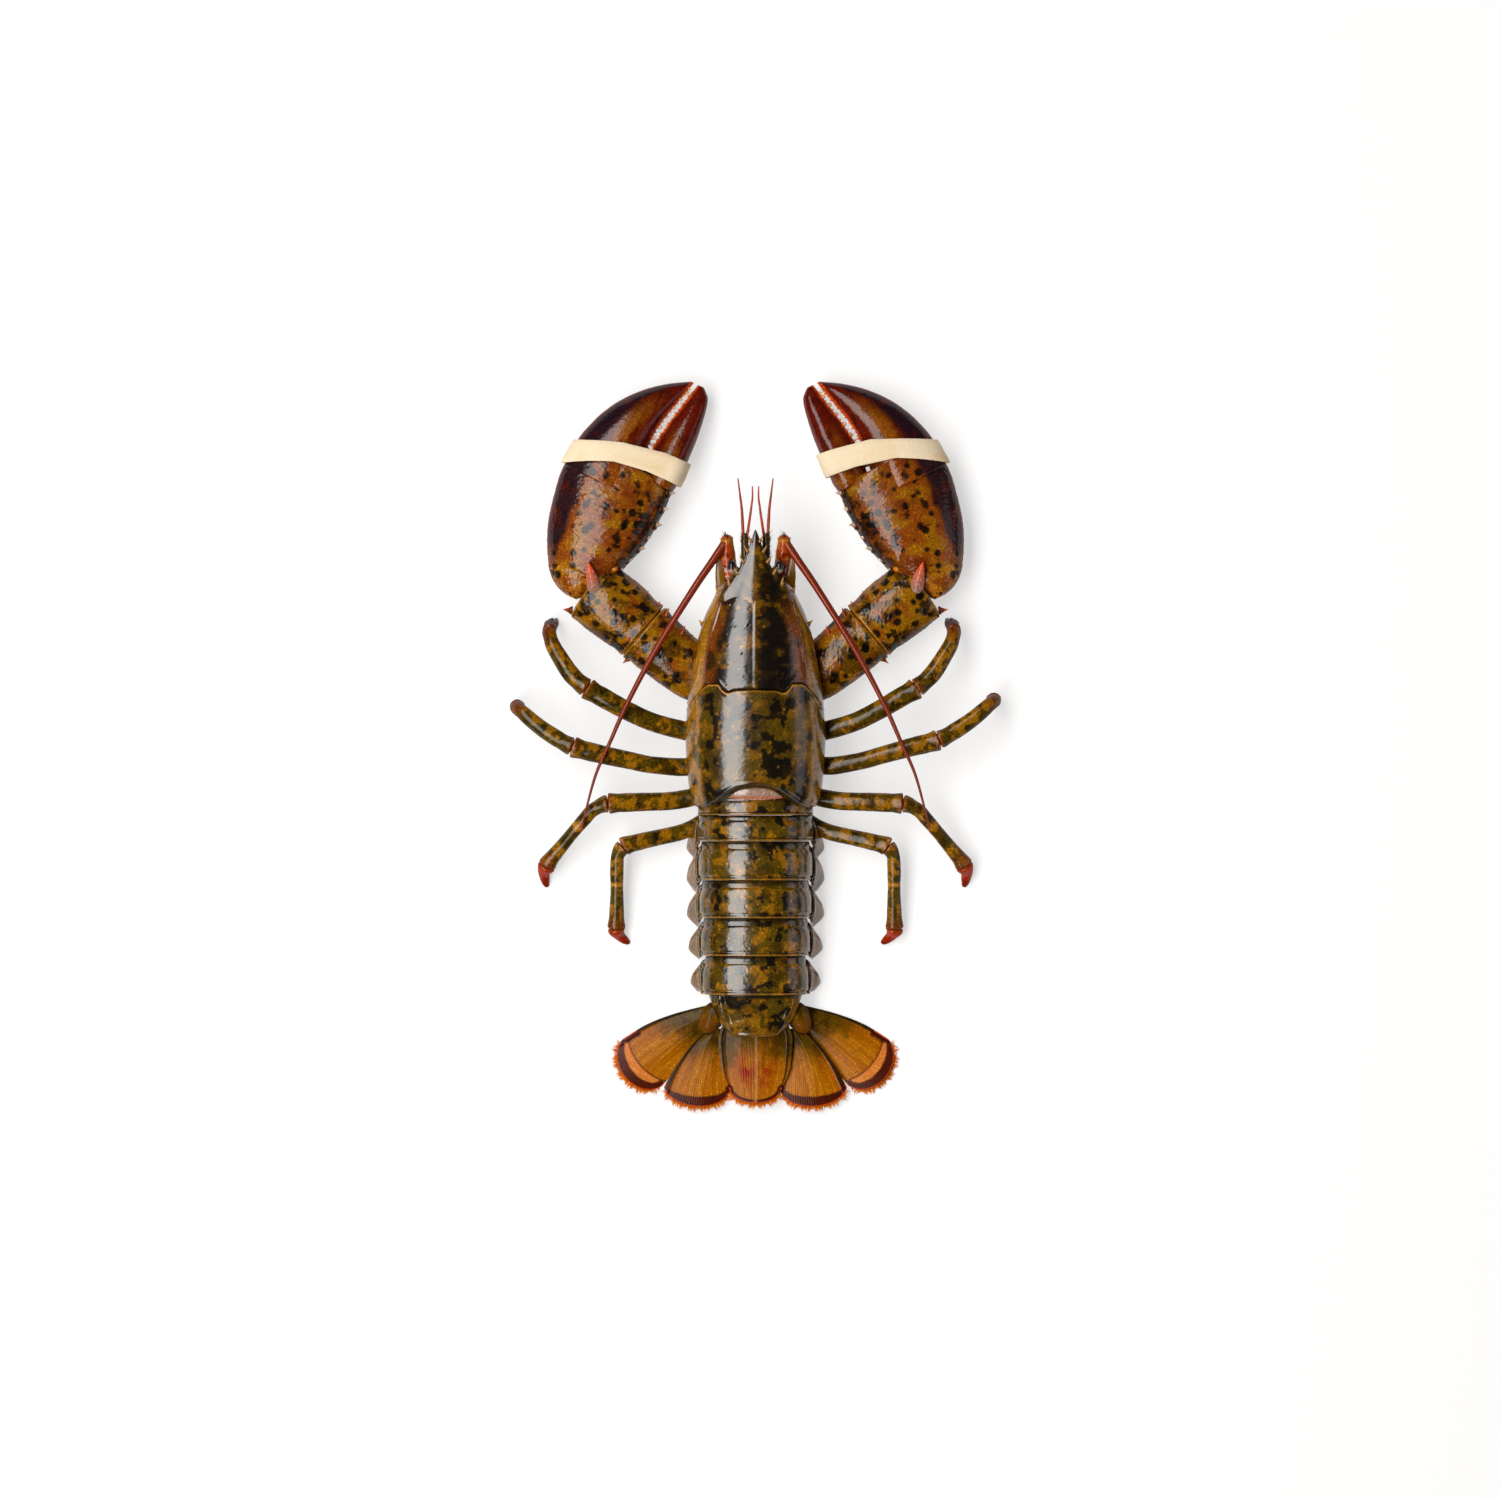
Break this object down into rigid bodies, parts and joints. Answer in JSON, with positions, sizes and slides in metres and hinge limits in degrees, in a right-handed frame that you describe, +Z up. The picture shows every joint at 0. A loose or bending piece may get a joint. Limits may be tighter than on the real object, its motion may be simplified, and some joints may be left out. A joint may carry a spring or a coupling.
{
  "type": "american lobster",
  "caption": "Live american lobster lying flat with spread legs, folded tail rings, a tail fan, long feelers and heavy claws held shut by elastic bands.",
  "frame": {"origin": "on the floor under the middle of the outline's bounding box", "axes": "+Y from the tail towards the head and claws, +X to the animal's right, +Z up"},
  "size_m": [0.2166, 0.3214, 0.047],
  "materials": {
    "head_shell": "dark brown shell with ochre flanks, wet gloss",
    "back_shell": "olive brown mottled shell, wet gloss",
    "claw_shell": "mahogany and orange-brown shell with dark spots, wet gloss",
    "leg_shell": "ochre and olive shell, satin",
    "toe": "brick-red horn, satin",
    "tail_fan": "orange shell with dark edges, satin",
    "feeler": "ringed maroon-red shell, satin",
    "eye": "black, glossy",
    "band": "plain cream rubber, matte"
  },
  "bodies": {
    "root": {"head": "head_shell", "thorax": "back_shell", "tail_ring_1": "back_shell", "tail_ring_2": "back_shell", "tail_ring_3": "back_shell", "tail_ring_4": "back_shell", "tail_ring_5": "back_shell", "tail_ring_6": "back_shell", "tail_ring_7": "back_shell", "telson": "tail_fan", "fan_outer_left": "tail_fan", "fan_inner_left": "tail_fan", "arm_left": "claw_shell", "wrist_left": "claw_shell", "claw_left": "claw_shell", "claw_finger_left": "claw_shell", "band_left": "band", "leg1_upper_left": "leg_shell", "leg1_lower_left": "leg_shell", "leg1_toe_left": "toe", "leg2_upper_left": "leg_shell", "leg2_lower_left": "leg_shell", "leg2_toe_left": "toe", "leg3_upper_left": "leg_shell", "leg3_lower_left": "leg_shell", "leg3_toe_left": "toe", "leg4_upper_left": "leg_shell", "leg4_lower_left": "leg_shell", "leg4_toe_left": "toe", "eye_left": "eye", "feeler_base_left": "feeler", "feeler_left": "feeler", "small_feeler_left": "feeler", "jaw_leg_left": "leg_shell", "fan_outer_right": "tail_fan", "fan_inner_right": "tail_fan", "arm_right": "claw_shell", "wrist_right": "claw_shell", "claw_right": "claw_shell", "claw_finger_right": "claw_shell", "band_right": "band", "leg1_upper_right": "leg_shell", "leg1_lower_right": "leg_shell", "leg1_toe_right": "toe", "leg2_upper_right": "leg_shell", "leg2_lower_right": "leg_shell", "leg2_toe_right": "toe", "leg3_upper_right": "leg_shell", "leg3_lower_right": "leg_shell", "leg3_toe_right": "toe", "leg4_upper_right": "leg_shell", "leg4_lower_right": "leg_shell", "leg4_toe_right": "toe", "eye_right": "eye", "feeler_base_right": "feeler", "feeler_right": "feeler", "small_feeler_right": "feeler", "jaw_leg_right": "leg_shell"}
  },
  "joints": []
}
